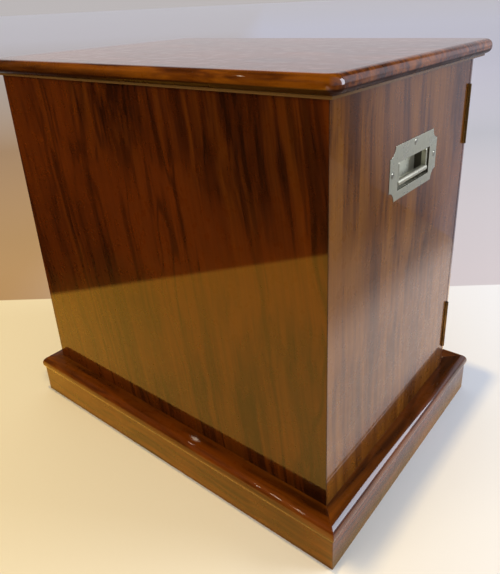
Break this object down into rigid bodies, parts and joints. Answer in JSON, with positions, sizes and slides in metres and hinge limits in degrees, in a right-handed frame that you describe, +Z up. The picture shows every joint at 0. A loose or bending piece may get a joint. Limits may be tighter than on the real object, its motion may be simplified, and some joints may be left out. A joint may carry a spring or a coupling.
{
  "type": "cigar cabinet humidor",
  "caption": "Walnut cigar cabinet on a moulded plinth, with a hinged front door, cedar drawers, a moistener and a flush bail handle on each end.",
  "frame": {"origin": "middle of the plinth's underside", "axes": "+X to the right seen from the front, +Y from the door to the back, +Z up"},
  "size_m": [0.3842, 0.2762, 0.3647],
  "materials": {
    "walnut": "french polished, high gloss, straight to wavy grain",
    "walnut_plinth": "french polished, high gloss",
    "walnut_door": "french polished, high gloss",
    "walnut_drawer": "polished",
    "cedar": "bare, planed",
    "pine": "bare, sawn",
    "pale_brass": "satin, pale, worn",
    "brass": "satin, aged",
    "lock_steel": "brushed, aged",
    "tinned_metal": "tinned, dull",
    "clay": "matt, porous"
  },
  "bodies": {
    "cabinet": {"back_board": "walnut", "base_board": "pine", "drawer_runners": "cedar", "end_board_left": "walnut", "end_board_right": "walnut", "hinge_cabinet_leaves": "brass", "left_handle_pan": "pale_brass", "left_handle_plate": "pale_brass", "lining_back": "cedar", "lining_bottom": "cedar", "lining_left": "cedar", "lining_right": "cedar", "lining_top": "cedar", "link_plate": "brass", "moistener_block": "clay", "moistener_case": "tinned_metal", "moistener_cover": "tinned_metal", "plinth_back": "walnut_plinth", "plinth_front": "walnut_plinth", "plinth_glue_blocks": "pine", "plinth_left": "walnut_plinth", "plinth_right": "walnut_plinth", "right_handle_pan": "pale_brass", "right_handle_plate": "pale_brass", "top_board": "walnut"},
    "door": {"door_bottom_rail": "walnut_door", "door_hinge_stile": "walnut_door", "door_lock_stile": "walnut_door", "door_panel": "walnut_door", "door_panel_beads": "walnut_door", "door_top_rail": "walnut_door", "escutcheon": "brass", "hinge_door_leaves": "brass", "lock_case": "lock_steel", "lock_cover": "lock_steel"},
    "lock_bolt": {"lock_bolt": "brass"},
    "key": {"key": "lock_steel"},
    "left_bail": {"left_bail": "pale_brass"},
    "right_bail": {"right_bail": "pale_brass"},
    "drawer_1": {"drawer_1_front": "walnut_drawer", "drawer_1_sides": "cedar", "drawer_1_back": "cedar", "drawer_1_bottom": "cedar", "drawer_1_knob": "brass"},
    "drawer_2": {"drawer_2_front": "walnut_drawer", "drawer_2_sides": "cedar", "drawer_2_back": "cedar", "drawer_2_bottom": "cedar", "drawer_2_knob": "brass"},
    "drawer_3": {"drawer_3_front": "walnut_drawer", "drawer_3_sides": "cedar", "drawer_3_back": "cedar", "drawer_3_bottom": "cedar", "drawer_3_knob": "brass"},
    "drawer_4": {"drawer_4_front": "walnut_drawer", "drawer_4_sides": "cedar", "drawer_4_back": "cedar", "drawer_4_bottom": "cedar", "drawer_4_knob": "brass"}
  },
  "joints": [
    {"name": "door_hinge", "type": "hinge", "parent": "cabinet", "child": "door", "pos_m": [-0.1753, -0.10335, 0.1967], "axis": [0, 0, -1], "range_deg": [0, 180]},
    {"name": "left_bail_swing", "type": "hinge", "parent": "cabinet", "child": "left_bail", "pos_m": [-0.1726, 0, 0.29], "axis": [0, 1, 0], "range_deg": [0, 90]},
    {"name": "right_bail_swing", "type": "hinge", "parent": "cabinet", "child": "right_bail", "pos_m": [0.1726, 0, 0.29], "axis": [0, -1, 0], "range_deg": [0, 90]},
    {"name": "key_turn", "type": "hinge", "parent": "door", "child": "key", "pos_m": [0.147, -0.12075, 0.1967], "axis": [0, -1, 0], "range_deg": [0, 90]},
    {"name": "bolt_slide", "type": "slide", "parent": "door", "child": "lock_bolt", "axis": [1, 0, 0], "range_m": [0, 0.007]},
    {"name": "drawer_1_slide", "type": "slide", "parent": "cabinet", "child": "drawer_1", "axis": [0, -1, 0], "range_m": [0, 0.15]},
    {"name": "drawer_2_slide", "type": "slide", "parent": "cabinet", "child": "drawer_2", "axis": [0, -1, 0], "range_m": [0, 0.15]},
    {"name": "drawer_3_slide", "type": "slide", "parent": "cabinet", "child": "drawer_3", "axis": [0, -1, 0], "range_m": [0, 0.15]},
    {"name": "drawer_4_slide", "type": "slide", "parent": "cabinet", "child": "drawer_4", "axis": [0, -1, 0], "range_m": [0, 0.15]}
  ],
  "couplings": [
    {"joint": "key_turn", "follows": "bolt_slide", "rad_per_m": 224.4},
    {"joint": "drawer_1_slide", "follows": "door_hinge", "m_per_rad": 0.0477},
    {"joint": "drawer_2_slide", "follows": "door_hinge", "m_per_rad": 0.0477},
    {"joint": "drawer_3_slide", "follows": "door_hinge", "m_per_rad": 0.0477},
    {"joint": "drawer_4_slide", "follows": "door_hinge", "m_per_rad": 0.0477}
  ]
}
